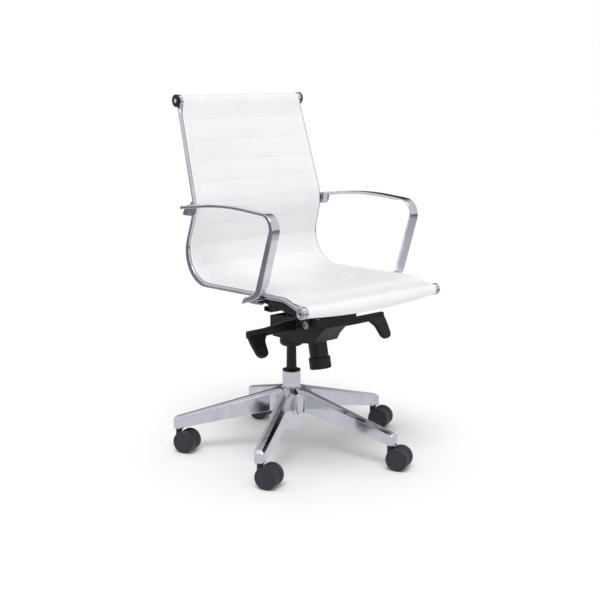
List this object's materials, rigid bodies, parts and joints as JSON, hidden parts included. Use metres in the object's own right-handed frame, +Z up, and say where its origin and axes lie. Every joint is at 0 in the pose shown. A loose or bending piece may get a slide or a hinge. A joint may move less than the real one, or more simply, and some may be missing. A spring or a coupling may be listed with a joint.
{
  "type": "swivel office chair",
  "caption": "Swivel office chair with a ribbed leather sling seat and back, polished loop arms, tilt mechanism, gas column and star base on casters.",
  "frame": {"origin": "on the floor, on the gas column's axis", "axes": "+Z up, the chair faces -Y, +X is the sitter's left"},
  "size_m": [0.6325, 0.6612, 0.9615],
  "materials": {
    "polished_aluminium": "mirror-polished",
    "chrome": "bright plated",
    "black_steel": "satin powder coat",
    "black_plastic": "fine moulded",
    "steel": "machined",
    "white_leather": "fine grain, satin",
    "caster_plastic": "moulded, matte"
  },
  "bodies": {
    "base": {"star_base": "polished_aluminium", "stand_tube": "chrome", "guide_bush": "black_plastic", "thrust_bearing": "steel"},
    "swivel": {"piston_rod": "steel", "retaining_clip": "steel"},
    "column": {"pressure_tube": "black_steel", "mech_housing": "black_steel", "tilt_shaft": "steel", "tilt_shaft_clips": "steel", "tension_spring": "steel"},
    "release_pin": {"release_pin": "steel"},
    "height_lever": {"height_lever_rod": "steel", "height_lever_handle": "black_plastic"},
    "tilt_lever": {"tilt_lever_rod": "steel", "tilt_lever_handle": "black_plastic"},
    "tension_knob": {"tension_bolt": "steel", "tension_knob": "black_plastic"},
    "tension_nut": {"tension_nut": "steel"},
    "seat": {"seat_plate": "black_steel", "tilt_bushes": "black_plastic", "front_spreader": "black_steel", "rear_spreader": "black_steel", "spreader_bolts": "steel", "left_side_bracket": "black_steel", "right_side_bracket": "black_steel", "left_rail": "polished_aluminium", "right_rail": "polished_aluminium", "front_tube": "chrome", "top_tube": "chrome", "front_caps": "chrome", "front_cap_screws": "chrome", "top_caps": "black_plastic", "top_cap_screws": "chrome", "back_brace": "polished_aluminium", "frame_screws": "steel", "sling": "white_leather", "left_arm": "polished_aluminium", "right_arm": "polished_aluminium"},
    "caster_1": {"caster_1_body": "caster_plastic", "caster_1_pins": "steel"},
    "caster_1_wheel_a": {"caster_1_wheel_a": "caster_plastic"},
    "caster_1_wheel_b": {"caster_1_wheel_b": "caster_plastic"},
    "caster_2": {"caster_2_body": "caster_plastic", "caster_2_pins": "steel"},
    "caster_2_wheel_a": {"caster_2_wheel_a": "caster_plastic"},
    "caster_2_wheel_b": {"caster_2_wheel_b": "caster_plastic"},
    "caster_3": {"caster_3_body": "caster_plastic", "caster_3_pins": "steel"},
    "caster_3_wheel_a": {"caster_3_wheel_a": "caster_plastic"},
    "caster_3_wheel_b": {"caster_3_wheel_b": "caster_plastic"},
    "caster_4": {"caster_4_body": "caster_plastic", "caster_4_pins": "steel"},
    "caster_4_wheel_a": {"caster_4_wheel_a": "caster_plastic"},
    "caster_4_wheel_b": {"caster_4_wheel_b": "caster_plastic"},
    "caster_5": {"caster_5_body": "caster_plastic", "caster_5_pins": "steel"},
    "caster_5_wheel_a": {"caster_5_wheel_a": "caster_plastic"},
    "caster_5_wheel_b": {"caster_5_wheel_b": "caster_plastic"}
  },
  "joints": [
    {"name": "swivel_turn", "type": "hinge", "parent": "base", "child": "swivel", "pos_m": [0, 0, 0.06], "axis": [0, 0, 1], "continuous": true},
    {"name": "height_slide", "type": "slide", "parent": "swivel", "child": "column", "axis": [0, 0, 1], "range_m": [0, 0.1]},
    {"name": "height_lever_lift", "type": "hinge", "parent": "column", "child": "height_lever", "pos_m": [-0.038, -0.066, 0.362], "axis": [0, 1, 0], "range_deg": [0, 5], "stiffness_Nm_per_rad": 3, "springref_deg": -6.88},
    {"name": "release_pin_press", "type": "slide", "parent": "column", "child": "release_pin", "axis": [0, 0, -1], "range_m": [0, 0.004]},
    {"name": "tilt_lever_lift", "type": "hinge", "parent": "column", "child": "tilt_lever", "pos_m": [0.038, -0.122, 0.362], "axis": [0, -1, 0], "range_deg": [0, 5]},
    {"name": "tension_turn", "type": "hinge", "parent": "column", "child": "tension_knob", "pos_m": [0, -0.104, 0.32], "axis": [0, 0.1994, 0.9799], "range_deg": [0, 900]},
    {"name": "tension_nut_rise", "type": "slide", "parent": "column", "child": "tension_nut", "axis": [0, 0.1994, 0.9799], "range_m": [0, 0.0035]},
    {"name": "seat_tilt", "type": "hinge", "parent": "column", "child": "seat", "pos_m": [0, -0.146, 0.383], "axis": [-1, 0, 0], "range_deg": [0, 16], "stiffness_Nm_per_rad": 90, "springref_deg": -17.19, "deforming": ["tension_spring"]},
    {"name": "caster_1_swivel", "type": "hinge", "parent": "base", "child": "caster_1", "pos_m": [0.10383, 0.28997, 0.06], "axis": [0, 0, 1], "continuous": true},
    {"name": "caster_1_roll_a", "type": "hinge", "parent": "caster_1", "child": "caster_1_wheel_a", "pos_m": [0.11351, 0.26801, 0.03], "axis": [0.915, 0.4035, 0], "continuous": true},
    {"name": "caster_1_roll_b", "type": "hinge", "parent": "caster_1", "child": "caster_1_wheel_b", "pos_m": [0.11351, 0.26801, 0.03], "axis": [0.915, 0.4035, 0], "continuous": true},
    {"name": "caster_2_swivel", "type": "hinge", "parent": "base", "child": "caster_2", "pos_m": [-0.2437, 0.18835, 0.06], "axis": [0, 0, 1], "continuous": true},
    {"name": "caster_2_roll_a", "type": "hinge", "parent": "caster_2", "child": "caster_2_wheel_a", "pos_m": [-0.23401, 0.16639, 0.03], "axis": [0.915, 0.4035, 0], "continuous": true},
    {"name": "caster_2_roll_b", "type": "hinge", "parent": "caster_2", "child": "caster_2_wheel_b", "pos_m": [-0.23401, 0.16639, 0.03], "axis": [0.915, 0.4035, 0], "continuous": true},
    {"name": "caster_3_swivel", "type": "hinge", "parent": "base", "child": "caster_3", "pos_m": [-0.25444, -0.17357, 0.06], "axis": [0, 0, 1], "continuous": true},
    {"name": "caster_3_roll_a", "type": "hinge", "parent": "caster_3", "child": "caster_3_wheel_a", "pos_m": [-0.24475, -0.19553, 0.03], "axis": [0.915, 0.4035, 0], "continuous": true},
    {"name": "caster_3_roll_b", "type": "hinge", "parent": "caster_3", "child": "caster_3_wheel_b", "pos_m": [-0.24475, -0.19553, 0.03], "axis": [0.915, 0.4035, 0], "continuous": true},
    {"name": "caster_4_swivel", "type": "hinge", "parent": "base", "child": "caster_4", "pos_m": [0.08644, -0.29562, 0.06], "axis": [0, 0, 1], "continuous": true},
    {"name": "caster_4_roll_a", "type": "hinge", "parent": "caster_4", "child": "caster_4_wheel_a", "pos_m": [0.09613, -0.31758, 0.03], "axis": [0.915, 0.4035, 0], "continuous": true},
    {"name": "caster_4_roll_b", "type": "hinge", "parent": "caster_4", "child": "caster_4_wheel_b", "pos_m": [0.09613, -0.31758, 0.03], "axis": [0.915, 0.4035, 0], "continuous": true},
    {"name": "caster_5_swivel", "type": "hinge", "parent": "base", "child": "caster_5", "pos_m": [0.30786, -0.00914, 0.06], "axis": [0, 0, 1], "continuous": true},
    {"name": "caster_5_roll_a", "type": "hinge", "parent": "caster_5", "child": "caster_5_wheel_a", "pos_m": [0.31755, -0.0311, 0.03], "axis": [0.915, 0.4035, 0], "continuous": true},
    {"name": "caster_5_roll_b", "type": "hinge", "parent": "caster_5", "child": "caster_5_wheel_b", "pos_m": [0.31755, -0.0311, 0.03], "axis": [0.915, 0.4035, 0], "continuous": true}
  ],
  "couplings": [
    {"joint": "release_pin_press", "follows": "height_lever_lift", "m_per_rad": 0.038},
    {"joint": "tension_nut_rise", "follows": "tension_turn", "m_per_rad": 0.00019894}
  ]
}
